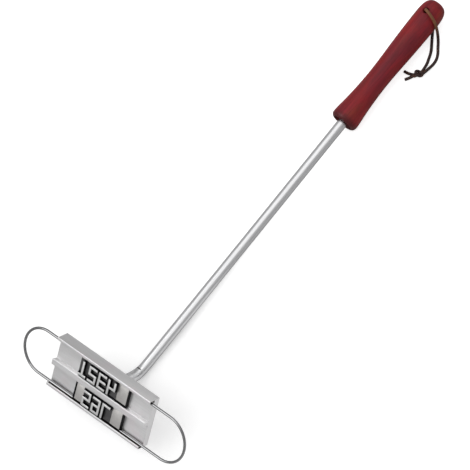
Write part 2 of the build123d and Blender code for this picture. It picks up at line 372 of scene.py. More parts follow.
def blend(tree, amount, first, second):
    """Two colours, each a value or a socket, mixed by an amount."""
    mix = tree.nodes.new("ShaderNodeMix")
    mix.data_type = "RGBA"
    tree.links.new(amount, mix.inputs["Factor"])
    for side, colour in (("A", first), ("B", second)):
        socket = [i for i in mix.inputs if i.name == side and i.type == "RGBA"][0]
        if isinstance(colour, bpy.types.NodeSocket):
            tree.links.new(colour, socket)
        else:
            socket.default_value = colour
    return [o for o in mix.outputs if o.type == "RGBA"][0]


def shade(colour, share):
    """A colour made lighter or darker."""
    return (colour[0] * share, colour[1] * share, colour[2] * share, 1)


def bump(tree, shader, height, distance, strength=1.0):
    node = add_node(tree, "Bump")
    node.inputs["Strength"].default_value = strength
    node.inputs["Distance"].default_value = distance
    tree.links.new(height, node.inputs["Height"])
    tree.links.new(node.outputs["Normal"], shader.inputs["Normal"])


def extruded_aluminium():
    """Satin aluminium with the fine lines of its extrusion along X."""
    colour = colours().head
    material, tree, shader = new_surface("extruded_aluminium", colour, 1.0, 0.42)
    lines = speckle(tree, stretched(tree, (0.02, 1, 1)), 2600, 3, 0.6)
    cloud = speckle(tree, stretched(tree, (1, 1, 1)), 38, 3)
    tone = blend(tree, ramp(tree, lines, 0.3, 0.7), shade(colour, 0.94), shade(colour, 1.06))
    pinkish = (colour[0] * 1.03, colour[1] * 0.965, colour[2] * 0.99, 1)
    tree.links.new(blend(tree, ramp(tree, cloud, 0.5, 0.75), tone, pinkish), shader.inputs["Base Color"])
    tree.links.new(ramp(tree, lines, 0.2, 0.8, 0.38, 0.48), shader.inputs["Roughness"])
    bump(tree, shader, lines, 0.02 * MM, 0.35)
    return material


def cast_aluminium(name, colour, roughness, grain=0.03):
    """Cast metal with a fine grain."""
    material, tree, shader = new_surface(name, colour, 1.0, roughness)
    grains = speckle(tree, stretched(tree, (1, 1, 1)), 1900, 4, 0.6)
    cloud = speckle(tree, stretched(tree, (1, 1, 1)), 160, 2)
    tone = blend(tree, ramp(tree, grains, 0.3, 0.7), shade(colour, 0.86), shade(colour, 1.12))
    tree.links.new(blend(tree, ramp(tree, cloud, 0.45, 0.7), tone, shade(colour, 0.9)), shader.inputs["Base Color"])
    tree.links.new(ramp(tree, grains, 0.2, 0.8, roughness - 0.06, roughness + 0.06), shader.inputs["Roughness"])
    bump(tree, shader, grains, grain * MM, 0.5)
    return material


def polished_steel(name, colour, roughness, stretch):
    """Drawn and polished steel, with faint scratches along its length."""
    material, tree, shader = new_surface(name, colour, 1.0, roughness)
    scratches = speckle(tree, stretched(tree, stretch), 1500, 3, 0.6)
    tone = blend(tree, ramp(tree, scratches, 0.3, 0.7), shade(colour, 0.95), shade(colour, 1.04))
    tree.links.new(tone, shader.inputs["Base Color"])
    tree.links.new(ramp(tree, scratches, 0.25, 0.75, roughness * 0.8, roughness * 1.3), shader.inputs["Roughness"])
    bump(tree, shader, scratches, 0.01 * MM, 0.2)
    return material


def polished_tube():
    """The stem's steel, its scratches along the handle."""
    return polished_steel("polished_tube", colours().stem, 0.24, (1, 0.04, 1))


def groove_skin():
    """Near-black painted shade for the insides of grooves and creases."""
    return cast_aluminium("groove_skin", colours().groove, 0.6)


def stained_wood():
    """Red stained hardwood under varnish, its grain along the handle."""
    tint = colours()
    varnish = [("Coat Weight", 0.08), ("Coat Roughness", 0.3), ("Specular IOR Level", 0.2)]
    material, tree, shader = new_surface("stained_wood", tint.wood_red, 0.0, 0.38, varnish)
    grain = speckle(tree, stretched(tree, (1, 0.07, 1)), 260, 6, 0.62, 0.8)
    blotch = speckle(tree, stretched(tree, (1, 0.35, 1)), 62, 3, 0.55, 0.4)
    pores = speckle(tree, stretched(tree, (1, 0.035, 1)), 1500, 3, 0.6)
    marks = speckle(tree, stretched(tree, (1, 0.12, 1)), 130, 2, 0.5, 1.2)
    patches = speckle(tree, stretched(tree, (1, 0.45, 1)), 95, 2, 0.5, 0.3)
    warm = blend(tree, ramp(tree, patches, 0.56, 0.72, 0.0, 0.8), tint.wood_red, tint.wood_orange)
    red = blend(tree, ramp(tree, blotch, 0.42, 0.66), warm, tint.wood_purple)
    grained = blend(tree, ramp(tree, grain, 0.36, 0.72, 0.0, 0.6), red, tint.wood_dark)
    marked = blend(tree, ramp(tree, marks, 0.63, 0.76, 0.0, 0.7), grained, tint.wood_dark)
    pored = blend(tree, ramp(tree, pores, 0.62, 0.8, 0.0, 0.7), marked, shade(tint.wood_dark, 0.6))
    # Painted shade: the wood darkens over the last few millimetres towards the front, standing in for shade in the
    # dished front.
    place = add_node(tree, "SeparateXYZ")
    tree.links.new(stretched(tree, (1, 1, 1)), place.inputs[0])
    front_shade = ramp(tree, place.outputs["Y"], HANDLE.translation.y + 1.2 * MM, HANDLE.translation.y + 5.8 * MM, 0.75, 0.0)
    tree.links.new(blend(tree, front_shade, pored, shade(tint.wood_dark, 0.8)), shader.inputs["Base Color"])
    tree.links.new(ramp(tree, grain, 0.3, 0.7, 0.42, 0.58), shader.inputs["Roughness"])
    bump(tree, shader, pores, -0.06 * MM, 0.35)
    return material


def lace_hide():
    """Dark leather, rubbed olive brown in places, with a fine grain."""
    tint = colours()
    material, tree, shader = new_surface("lace_hide", tint.leather, 0.0, 0.55, [("Specular IOR Level", 0.35)])
    worn = speckle(tree, stretched(tree, (1, 1, 1)), 170, 4, 0.6)
    grain = speckle(tree, stretched(tree, (1, 1, 1)), 2400, 3, 0.6)
    place = add_node(tree, "SeparateXYZ")
    tree.links.new(stretched(tree, (1, 1, 1)), place.inputs[0])
    rubbed = ramp(tree, place.outputs["Z"], 9 * MM, 22 * MM, 0.0, 0.34)
    level = add_node(tree, "Math", operation="ADD")
    tree.links.new(worn, level.inputs[0])
    tree.links.new(rubbed, level.inputs[1])
    tone = blend(tree, ramp(tree, level.outputs[0], 0.56, 0.84), tint.leather, tint.leather_worn)
    tree.links.new(blend(tree, ramp(tree, grain, 0.4, 0.8, 0.0, 0.5), tone, shade(tint.leather, 0.5)), shader.inputs["Base Color"])
    tree.links.new(ramp(tree, grain, 0.2, 0.8, 0.46, 0.66), shader.inputs["Roughness"])
    bump(tree, shader, grain, 0.08 * MM, 0.5)
    return material


def the_material(name, make):
    """A material made once and used again."""
    return bpy.data.materials.get(name) or make()


# The head

class IRON_OT_head(Operator):
    """Models the bar with its two channels, middle rail and wire grooves"""

    bl_idname = "iron.add_head"
    bl_label = "Add head"

    def execute(self, context):
        size = sizes()
        half = BAR_LENGTH / 2
        floor = BAR_DEPTH - size.back_thickness
        top = BAR_TOP
        wall = top - size.wall_thickness
        web = size.rail_web / 2
        flange = size.rail_width / 2 - web
        bar = block("head_bar", (-half, floor, -top), (half, BAR_DEPTH, top))
        open_mesh(bar)
        bisect(bar, (0, 0, 1), (-wall, -web, web, wall))

        def on_front(face, depth):
            return face.normal.y < -0.9 and abs(face.calc_center_median().y - depth) < 0.1 * MM

        pick(bar, "faces", lambda face: on_front(face, floor) and abs(face.calc_center_median().z) > wall)
        push_out(y=-floor)
        pick(bar, "faces", lambda face: on_front(face, floor) and abs(face.calc_center_median().z) < web)
        push_out(y=size.rail_flange - floor)
        push_out(y=-size.rail_flange)
        for side in (-1, 1):
            pick(bar, "faces", lambda face: self.is_flange_side(face, side, web, size.rail_flange))
            push_out(z=side * flange)
        close_mesh()
        modify(bar, "BEVEL", width=size.edge_round, segments=3, limit_method="ANGLE", angle_limit=radians(40))
        for side in (-1, 1):
            groove_radius = size.wire_diameter / 2 + size.groove_clearance
            cut_away(bar, across_cylinder("groove", groove_radius, 1.2 * BAR_LENGTH, size.wire_seat, side * size.wire_spread))
            for end in (-1, 1):
                # Each groove widens at both ends of the bar; the painted shade fills these mouths as dark holes.
                mouth = across_cylinder("groove_mouth", groove_radius + 0.5 * MM, 3 * MM, size.wire_seat, side * size.wire_spread)
                mouth.location.x = end * BAR_LENGTH / 2
                cut_away(bar, mouth)
        shading = the_material("groove_skin", groove_skin)
        bar.data.materials.append(the_material("extruded_aluminium", extruded_aluminium))
        bar.data.materials.append(shading)
        # Painted shade: the faces inside the grooves and their mouths get the near-black second material.
        open_mesh(bar)
        pick(bar, "faces", lambda face: self.in_groove(face, groove_radius))
        bar.active_material_index = 1
        bpy.ops.object.material_slot_assign()
        bpy.ops.object.mode_set(mode="OBJECT")
        stud_low, stud_high = reach_along("head_stud", BAR_MIDDLE + HEAD_BACK * BAR_FACE, HEAD_BACK)
        cut_away(bar, turned("stud_hole", [(stud_low - 0.1 * MM, 3.1 * MM), (stud_high, 3.1 * MM)], 32))
        settle(bar, HEAD, BODY, [the_material("extruded_aluminium", extruded_aluminium)], ["head_extrusion"])
        return {"FINISHED"}

    def in_groove(self, face, radius):
        size = sizes()
        middle = face.calc_center_median()
        away = Vector((0, middle.y - size.wire_seat, abs(middle.z) - size.wire_spread))
        return away.length < radius + 0.6 * MM and abs(face.normal.y) < 0.95

    def is_flange_side(self, face, side, web, flange_depth):
        middle = face.calc_center_median()
        return face.normal.z * side > 0.9 and abs(middle.z * side - web) < 0.1 * MM and middle.y < flange_depth


# The type

NUMERAL_BARS = {
    "1": ["middle_upright", "foot"],
    "2": ["top", "upper_right", "waist", "lower_left", "foot"],
    "3": ["top", "upper_right", "waist", "lower_right", "foot"],
    "4": ["upper_left", "waist", "upper_right", "lower_right"],
    "5": ["top", "upper_left", "waist", "lower_right", "foot"],
    "6": ["top", "upper_left", "lower_left", "waist", "lower_right", "foot"],
    "7": ["top", "upper_right", "lower_right"],
}
ROWS = {
    "upper": ["1", "2", "3", "4", None],
    "lower": [None, "5", "6", "7", None],
}


class IRON_OT_type(Operator):
    """Models the ten type blocks, with mirrored numerals on seven of them"""

    bl_idname = "iron.add_type"
    bl_label = "Add type"

    plate_face = 0.9 * MM
    plate_back = 5.05 * MM
    inner_edge = 3.2 * MM
    outer_edge = 20.0 * MM
    lip_edge = 1.65 * MM
    lip_depth = 1.65 * MM
    rabbet = 1.5 * MM
    end_step = 2.3 * MM
    notch_radius = 1.25 * MM

    def execute(self, context):
        for row, numerals in ROWS.items():
            side = 1 if row == "upper" else -1
            for index, numeral in enumerate(numerals):
                kind = "type" if numeral else "blank"
                self.add_block(f"{row}_{kind}_{index + 1}", side, numeral)
        return {"FINISHED"}

    def add_block(self, node, side, numeral):
        low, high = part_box(node)
        half = (high.x - low.x) / 2
        bottom, top = sorted((side * self.inner_edge, side * self.outer_edge))
        plate = block(f"{node}_plate", (-half, self.plate_face, bottom + self.rabbet), (half, self.plate_back, top))
        open_mesh(plate)
        bisect(plate, (0, 1, 0), (self.lip_depth,))
        lip = self.inner_edge - self.lip_edge
        for way, reach in ((-1, self.rabbet + (lip if side > 0 else 0)), (1, lip if side < 0 else 0)):
            if reach:
                pick(plate, "faces", lambda face: face.normal.z * way > 0.9 and face.calc_center_median().y > self.lip_depth)
                push_out(z=way * reach)
        close_mesh()
        size = sizes()
        # The step's floor lies deeper than the face, so it takes the painted shade as a dark line at the row's left
        # end.
        if node == "lower_blank_1":
            cut_away(plate, block("end_step", (-2 * half, -MM, bottom - MM), (self.end_step - half, self.plate_face + self.rabbet / 2, top + MM)))
        cut_away(plate, across_cylinder("notch", self.notch_radius, 4 * half, size.wire_seat, side * size.wire_spread))
        modify(plate, "BEVEL", width=0.12 * MM, segments=2, limit_method="ANGLE", angle_limit=radians(50))
        # The second and fourth materials are painted shade: near-black on sides and deep faces, dark on the field round
        # the numerals.
        metals = [
            the_material("type_plate", lambda: cast_aluminium("type_plate", colours().type_plate, 0.4)),
            the_material("type_side", lambda: cast_aluminium("type_side", colours().type_side, 0.5)),
            the_material("type_top", lambda: cast_aluminium("type_top", colours().type_top, 0.34)),
            the_material("type_patina", lambda: cast_aluminium("type_patina", colours().type_patina, 0.5, 0.06)),
        ]
        for metal in metals:
            plate.data.materials.append(metal)
        open_mesh(plate)
        # Painted shade: faces that turn away from the front or lie deeper than the face get the near-black second
        # material.
        self.give(plate, 1, lambda face: face.normal.y > -0.6 or face.calc_center_median().y > 1.4 * self.plate_face)
        bpy.ops.object.mode_set(mode="OBJECT")
        if numeral:
            self.raise_numeral(plate, numeral, (bottom + self.rabbet + top) / 2)
        place = HEAD @ Matrix.Translation(((low.x + high.x) / 2 - BAR_MIDDLE.x, 0, 0))
        settle(plate, place, node, metals, [node], angle=30)

    def bar_box(self, name):
        """Middle and half size of one numeral bar."""
        size = sizes()
        width, height, stroke = size.numeral_width, size.numeral_height, size.numeral_stroke
        side_x = (width - stroke) / 2
        end_z = (height - stroke) / 2
        upright = (height + stroke) / 2
        upright_z = (height - upright) / 2
        boxes = {
            "top": (0, end_z, width, stroke),
            "waist": (0, 0, width, stroke),
            "foot": (0, -end_z, width, stroke),
            "upper_left": (-side_x, upright_z, stroke, upright),
            "upper_right": (side_x, upright_z, stroke, upright),
            "lower_left": (-side_x, -upright_z, stroke, upright),
            "lower_right": (side_x, -upright_z, stroke, upright),
            "middle_upright": (0, 0, stroke, height),
        }
        x, z, wide, high = boxes[name]
        return -x, z, wide / 2, high / 2

    def raise_numeral(self, plate, numeral, middle_z):
        """Cuts the numeral's strokes in the plate's face and raises them."""
        size = sizes()
        bars = [self.bar_box(name) for name in NUMERAL_BARS[numeral]]
        face_y = self.plate_face
        open_mesh(plate)
        x_lines = sorted({round(x + way * wide, 7) for x, _, wide, _ in bars for way in (-1, 1)})
        z_lines = sorted({round(z + way * high, 7) for _, z, _, high in bars for way in (-1, 1)})

        def on_face(face):
            return face.normal.y < -0.99 and abs(face.calc_center_median().y - face_y) < 0.05 * MM

        bisect(plate, (1, 0, 0), x_lines, on_face)
        bisect(plate, (0, 0, 1), [middle_z + line for line in z_lines], on_face)

        def in_stroke(face):
            middle = face.calc_center_median()
            if not on_face(face):
                return False
            return any(abs(middle.x - x) < wide and abs(middle.z - middle_z - z) < high for x, z, wide, high in bars)

        pick(plate, "faces", in_stroke)
        bpy.ops.mesh.inset(thickness=size.numeral_draft, depth=size.numeral_rise, use_even_offset=True)
        bpy.ops.mesh.select_mode(type="FACE")
        bpy.ops.mesh.region_to_loop()
        bpy.ops.mesh.bevel(offset=size.numeral_round, segments=2)
        bpy.ops.mesh.select_mode(type="FACE")
        top_y = face_y - size.numeral_rise
        # Painted shade: the field round the numerals gets the dark fourth material.
        self.give(plate, 3, on_face)
        # Painted shade: the numerals' sides get the near-black second material.
        self.give(plate, 1, lambda face: face.calc_center_median().y < face_y - 0.1 * MM and face.normal.y > -0.8)
        self.give(plate, 2, lambda face: face.calc_center_median().y < top_y + 0.3 * MM and face.normal.y < -0.8)
        close_mesh()

    def give(self, plate, slot, test):
        """Gives the faces that pass a test one of the piece's materials."""
        pick(plate, "faces", test)
        plate.active_material_index = slot
        bpy.ops.object.material_slot_assign()


# The wires

class IRON_OT_wires(Operator):
    """Models the two spring wires that lock the type"""

    bl_idname = "iron.add_wires"
    bl_label = "Add wires"

    arc_steps = 40
    sides = 20
    tip_round = 0.4 * MM

    def execute(self, context):
        size = sizes()
        radius = size.wire_diameter / 2
        steel = the_material("dark_spring_steel", lambda: polished_steel("dark_spring_steel", colours().wire, 0.2, (0.05, 1, 1)))
        for node, side in (("left_retaining_wire", -1), ("right_retaining_wire", 1)):
            low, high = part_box(node)
            tip = (high.x if side < 0 else low.x) - BAR_MIDDLE.x
            apex = (low.x if side < 0 else high.x) - BAR_MIDDLE.x
            bend = apex - side * (radius + size.wire_spread)
            leg = abs(bend - tip)
            start = (tip, size.wire_seat, -size.wire_spread)
            centre = (bend, size.wire_seat, 0)
            turn = {"centre": centre, "axis": (0, -side, 0), "angle": pi, "steps": self.arc_steps}
            wire = bent_tube(f"{node}_rod", start, (side, 0, 0), radius, self.sides, [{"run": leg}, turn, {"run": leg}])
            round_rims(wire, self.tip_round, 3)
            settle(wire, HEAD, node, [steel], [node], angle=50)
        return {"FINISHED"}


# The stem and its fasteners

class IRON_OT_stem(Operator):
    """Models the bent tube, creased inside its bend"""

    bl_idname = "iron.add_stem"
    bl_label = "Add stem"

    sides = 48
    bend_steps = 24
    crease_share = 0.57
    crease_turn = 12
    crease_radius = 0.45 * MM
    oval = 0.2

    def execute(self, context):
        size = sizes()
        radius = size.stem_diameter / 2
        face_middle = HEAD.translation
        start, _ = reach_along("stem_tube", face_middle, HEAD_BACK)
        angle = HEAD_BACK.angle(STEM_WAY)
        tangent = size.bend_radius * tan(angle / 2)
        gap = STEM_POINT - face_middle
        along, up = gap.dot(HEAD_BACK), gap.dot(HEAD_UP)
        corner = along - up / tan(angle)
        _, end = reach_along("stem_tube", STEM_POINT, STEM_WAY)
        corner_to_point = up / sin(angle)
        second_run = corner_to_point + end - tangent
        bend_start = corner - tangent
        centre = (0, bend_start, size.bend_radius)
        turn = {"centre": centre, "axis": (1, 0, 0), "angle": angle, "steps": self.bend_steps}
        runs = [{"run": bend_start - start}, turn, {"run": second_run}]
        tube = bent_tube("bent_stem", (0, start, 0), (0, 1, 0), radius, self.sides, runs)
        self.flatten(tube, Vector(centre), angle)
        self.bore_ends(tube)
        self.crease(tube, Vector(centre), angle)
        steel = the_material("polished_tube", polished_tube)
        settle(tube, HEAD, BODY, [steel], ["stem_tube"], angle=50)
        return {"FINISHED"}

    def flatten(self, tube, centre, angle):
        """Widens the tube across and thins it in the bend, most at the head's end."""
        size = sizes()
        open_mesh(tube, "VERT")
        for step in range(self.bend_steps):
            ring = angle * step / self.bend_steps
            way = Vector((0, cos(ring), sin(ring)))
            middle = centre + Vector((0, sin(ring), -cos(ring))) * size.bend_radius
            share = cos(pi / 2 * step / self.bend_steps) ** 2
            self.squeeze(tube, middle, way, share, lambda gap: abs(gap) < 0.05 * MM)
            if not step:
                self.squeeze(tube, middle, way, share, lambda gap: gap < -0.05 * MM)
        bpy.ops.object.mode_set(mode="OBJECT")

    def squeeze(self, tube, middle, way, share, test):
        """Makes the vertices whose place along the tube passes a test into an oval."""
        size = sizes()
        near = 3 * size.stem_diameter
        pick(tube, "verts", lambda v: (v.co - middle).length < near and test((v.co - middle).dot(way)))
        wide, thin = 1 + self.oval * share, 1 - self.oval / 2 * share
        bpy.ops.transform.resize(value=(wide, thin, thin), center_override=middle)

    def crease(self, tube, centre, angle):
        """Cuts the short crease across the tube's inner side, a little to the left, and paints shade inside it."""
        size = sizes()
        ring = angle * self.crease_share
        inwards = Vector((0, -sin(ring), cos(ring)))
        way = Vector((0, cos(ring), sin(ring)))
        turn = radians(self.crease_turn)
        outer = inwards * cos(turn) - ACROSS * sin(turn)
        reach = size.stem_diameter / 2 + self.crease_radius - size.crease_depth
        cutter = across_cylinder("crease_cutter", self.crease_radius, size.stem_diameter, 0, 0)
        cutter.matrix_world = axes_at(way, outer, centre - inwards * size.bend_radius + outer * reach) @ cutter.matrix_world
        axis_point, axis = cutter.matrix_world.translation.copy(), way.cross(outer)
        cut_away(tube, cutter)
        tube.data.materials.append(the_material("polished_tube", polished_tube))
        tube.data.materials.append(the_material("groove_skin", groove_skin))
        open_mesh(tube)
        # Painted shade: the faces in the crease get the near-black groove material.
        pick(tube, "faces", lambda face: (face.calc_center_median() - axis_point).cross(axis).length < 1.05 * self.crease_radius)
        tube.active_material_index = 1
        bpy.ops.object.material_slot_assign()
        bpy.ops.object.mode_set(mode="OBJECT")

    def bore_ends(self, tube):
        """Opens both ends of the tube to its wall."""
        size = sizes()
        open_mesh(tube)
        pick(tube, "faces", lambda face: len(face.verts) > 8)
        mesh = bmesh.from_edit_mesh(tube.data)
        ends = [(face.calc_center_median(), face.normal.copy()) for face in mesh.faces if face.select]
        for middle, outwards in ends:
            pick(tube, "faces", lambda face: len(face.verts) > 8 and (face.calc_center_median() - middle).length < MM)
            bpy.ops.mesh.inset(thickness=size.stem_wall)
            push_out(*(-outwards * 14 * MM))
        close_mesh()


class IRON_OT_fasteners(Operator):
    """Models the jam nut and the lock washer, and finishes the stud"""

    bl_idname = "iron.add_fasteners"
    bl_label = "Add fasteners"

    bore = 3.05 * MM
    corner_radius = 5.77 * MM
    chamfer = 0.7 * MM

    def execute(self, context):
        plated = the_material("plated_steel", lambda: polished_steel("plated_steel", colours().fastener, 0.28, (1, 1, 1)))
        face_middle = HEAD.translation
        near, far = reach_along("jam_nut", face_middle, HEAD_BACK)
        nut = turned("hex_nut", [(near, self.corner_radius), (far, self.corner_radius)], 6)
        flat = self.corner_radius * cos(pi / 6)
        barrel = [(near - MM, flat - 2 * self.chamfer), (near + self.chamfer, self.corner_radius * 1.01)]
        barrel += [(far - self.chamfer, self.corner_radius * 1.01), (far + MM, flat - 2 * self.chamfer)]
        lathe = turned("nut_barrel", barrel, 64)
        modify(nut, "BOOLEAN", operation="INTERSECT", solver="EXACT", object=lathe)
        bpy.data.objects.remove(lathe)
        hole = [(near - MM, self.bore + 1.5 * MM), (near + 0.5 * MM, self.bore), (far - 0.5 * MM, self.bore), (far + MM, self.bore + 1.5 * MM)]
        cut_away(nut, turned("nut_hole", hole, 48))
        settle(nut, HEAD, BODY, [plated], ["jam_nut"], angle=30)
        near, far = reach_along("lock_washer", face_middle, HEAD_BACK)
        self.add_washer(near, far, plated)
        stud = frame["nodes"]["head_stud"]
        stud.data.materials.clear()
        stud.data.materials.append(plated)
        return {"FINISHED"}

    def add_washer(self, near, far, metal):
        """A split spring washer, its ends a little apart."""
        inner, outer = self.bore + 0.15 * MM, 5.95 * MM
        outline = [(near, inner), (near, outer), (far, outer), (far, inner), (near, inner)]
        washer = turned("split_washer", outline, 72, hollow=True)
        split = block("washer_split", (2 * MM, near - MM, -0.5 * MM), (7 * MM, far + MM, 0.5 * MM))
        cut_away(washer, split)
        modify(washer, "BEVEL", width=0.15 * MM, segments=2, limit_method="ANGLE", angle_limit=radians(40))
        settle(washer, HEAD, BODY, [metal], ["lock_washer"], angle=30)


# The handle

class IRON_OT_handle(Operator):
    """Models the turned handle, its dished front and its lace hole"""

    bl_idname = "iron.add_handle"
    bl_label = "Add handle"

    bore_outline = [(60.0, 4.35), (30.0, 4.35), (6.0, 4.35), (4.2, 4.4), (3.5, 5.4), (2.9, 6.9), (1.8, 7.9), (0.7, 8.4)]
    front_outline = [(0.12, 8.75), (0.0, 9.15), (0.2, 9.7), (0.7, 10.4), (1.5, 11.0), (2.5, 11.4), (3.8, 11.6)]
    grip_outline = [
        (6.5, 11.45), (10.5, 11.05), (14.5, 10.62), (19.0, 10.2), (25.0, 9.72), (32.0, 9.34), (40.0, 9.05),
        (48.0, 9.0), (56.0, 9.14), (64.0, 9.44), (72.0, 9.8), (81.0, 10.14), (90.0, 10.4), (99.0, 10.6), (108.0, 10.7),
    ]
    butt_outline = [
        (113.0, 10.6), (117.0, 10.2), (120.2, 9.35), (122.7, 7.9), (124.2, 6.0), (124.85, 3.9), (125.0, 1.8),
    ]
    sides = 48
    hole_from_butt = 12.5

    def execute(self, context):
        outline = self.bore_outline + self.front_outline + self.grip_outline + self.butt_outline
        grip = turned("turned_grip", [(place * MM, radius * MM) for place, radius in outline], self.sides)
        self.crown_caps(grip)
        modify(grip, "SUBSURF", levels=2, render_levels=2)
        cut_away(grip, self.hole_cutter())
        wood = the_material("stained_wood", stained_wood)
        settle(grip, HANDLE, BODY, [wood], ["handle"], angle=40)
        return {"FINISHED"}

    def crown_caps(self, grip):
        """Draws in both end faces, so that they stay flat when the piece is smoothed."""
        open_mesh(grip)
        pick(grip, "faces", lambda face: len(face.verts) > 8)
        bpy.ops.mesh.inset(thickness=0.5 * MM)
        bpy.ops.mesh.poke()
        close_mesh()

    def hole_cutter(self):
        """A pin across the handle, flared where it leaves each side."""
        size = sizes()
        half = 14 * MM
        flare_start, flare_end = 9.6 * MM, 11.6 * MM
        radius = size.lace_hole
        flared = radius + flare_end - flare_start
        outline = [(-half, flared), (-flare_end, flared), (-flare_start, radius)]
        outline += [(flare_start, radius), (flare_end, flared), (half, flared)]
        pin = turned("lace_hole_pin", outline, 40)
        length = HANDLE_BUTT - HANDLE_FRONT
        place = Matrix.Translation((0, length - self.hole_from_butt * MM, 0)) @ Matrix.Rotation(pi / 2, 4, "X")
        make_active(pin)
        pin.matrix_world = place
        bpy.ops.object.transform_apply(location=True, rotation=True, scale=True)
        return pin


# The lace

UPPER_STRAND = [
    (-4.1, 205.72, 22.75), (-4.1, 205.62, 26.15), (-2.2, 204.95, 28.0), (1.9, 203.75, 27.9),
    (7.7, 201.85, 21.6), (9.1, 199.55, 11.2), (11.2, 195.45, 3.8), (13.3, 191.45, 1.3),
    (17.4, 186.65, 1.3), (19.9, 181.05, 1.3), (20.2, 174.25, 2.0), (19.2, 165.65, 3.6),
]
LOWER_STRAND = [
    (-4.1, 206.14, 8.25), (-4.1, 206.25, 4.45), (-2.3, 204.75, 2.0), (0.5, 200.05, 1.3), (6.4, 191.85, 1.3),
    (11.2, 185.45, 1.3), (13.8, 178.85, 1.3), (15.9, 173.85, 1.6), (17.2, 166.65, 3.0),
]
UPPER_TAIL = [(14.4, 161.55, 3.2), (9.2, 159.45, 1.6), (3.9, 159.65, 1.3)]
LOWER_TAIL = [(14.2, 161.05, 3.2), (11.6, 157.05, 1.7), (9.0, 154.15, 1.3)]
KNOT_START = (17.8, 165.45, 3.6)
KNOT_END = (14.4, 161.55, 3.6)


class IRON_OT_lace(Operator):
    """Makes the lace's two strands, its knot and its two tails"""

    bl_idname = "iron.add_lace"
    bl_label = "Add lace"

    def execute(self, context):
        leather = the_material("lace_hide", lace_hide)
        knot = self.add_knot(leather)
        for node, points in (("lace_upper_tail", UPPER_TAIL), ("lace_lower_tail", LOWER_TAIL)):
            tail = self.strand(f"{node}_end", points)
            make_active(tail)
            bpy.ops.object.convert(target="MESH")
            settle(bpy.context.active_object, Matrix(), BODY, [leather], [node], angle=60)
        upper = self.strand("upper_strand", UPPER_STRAND)
        lower = self.strand("lower_strand", LOWER_STRAND)
        for strand, node in ((upper, "lace_upper_strand"), (lower, "lace_lower_strand")):
            strand.data.materials.append(leather)
            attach(strand, BODY)
            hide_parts(node)
        inside = frame["nodes"]["lace_in_hole"]
        inside.data.materials.clear()
        inside.data.materials.append(leather)
        return {"FINISHED"}

    def strand(self, name, points):
        """One smooth line through the route's points, as thick as the lace."""
        clear_selection()
        data = bpy.data.curves.new(name, "CURVE")
        data.dimensions = "3D"
        data.resolution_u = 12
        data.bevel_depth = sizes().lace_diameter / 2
        data.bevel_resolution = 5
        data.use_fill_caps = True
        spline = data.splines.new("NURBS")
        spline.points.add(len(points) - 1)
        for spot, point in zip(spline.points, points):
            spot.co = (*(Vector(point) * MM), 1)
        spline.order_u = 3
        spline.use_endpoint_u = True
        strand = bpy.data.objects.new(name, data)
        bpy.context.scene.collection.objects.link(strand)
        return strand

    def add_knot(self, leather):
        """An overhand knot, pulled tight and drawn out along the lace."""
        start, end = Vector(KNOT_START) * MM, Vector(KNOT_END) * MM
        along = (end - start).normalized()
        up = Vector((0, 0, 1))
        side = up.cross(along)
        middle = (start + end) / 2
        points = []
        steps = 30
        for step in range(steps + 1):
            turn = 2 * pi * (step / steps) * 0.94 + 0.1
            reach = (sin(turn) + 2 * sin(2 * turn)) * 1.25
            width = (cos(turn) - 2 * cos(2 * turn)) * 0.85
            rise = -sin(3 * turn) * 1.25
            points.append((middle + (along * reach + side * width + up * rise) * MM) / MM)
        knot = self.strand("tied_knot", points)
        make_active(knot)
        bpy.ops.object.convert(target="MESH")
        return settle(bpy.context.active_object, Matrix(), BODY, [leather], ["lace_knot"], angle=60)


# The stage

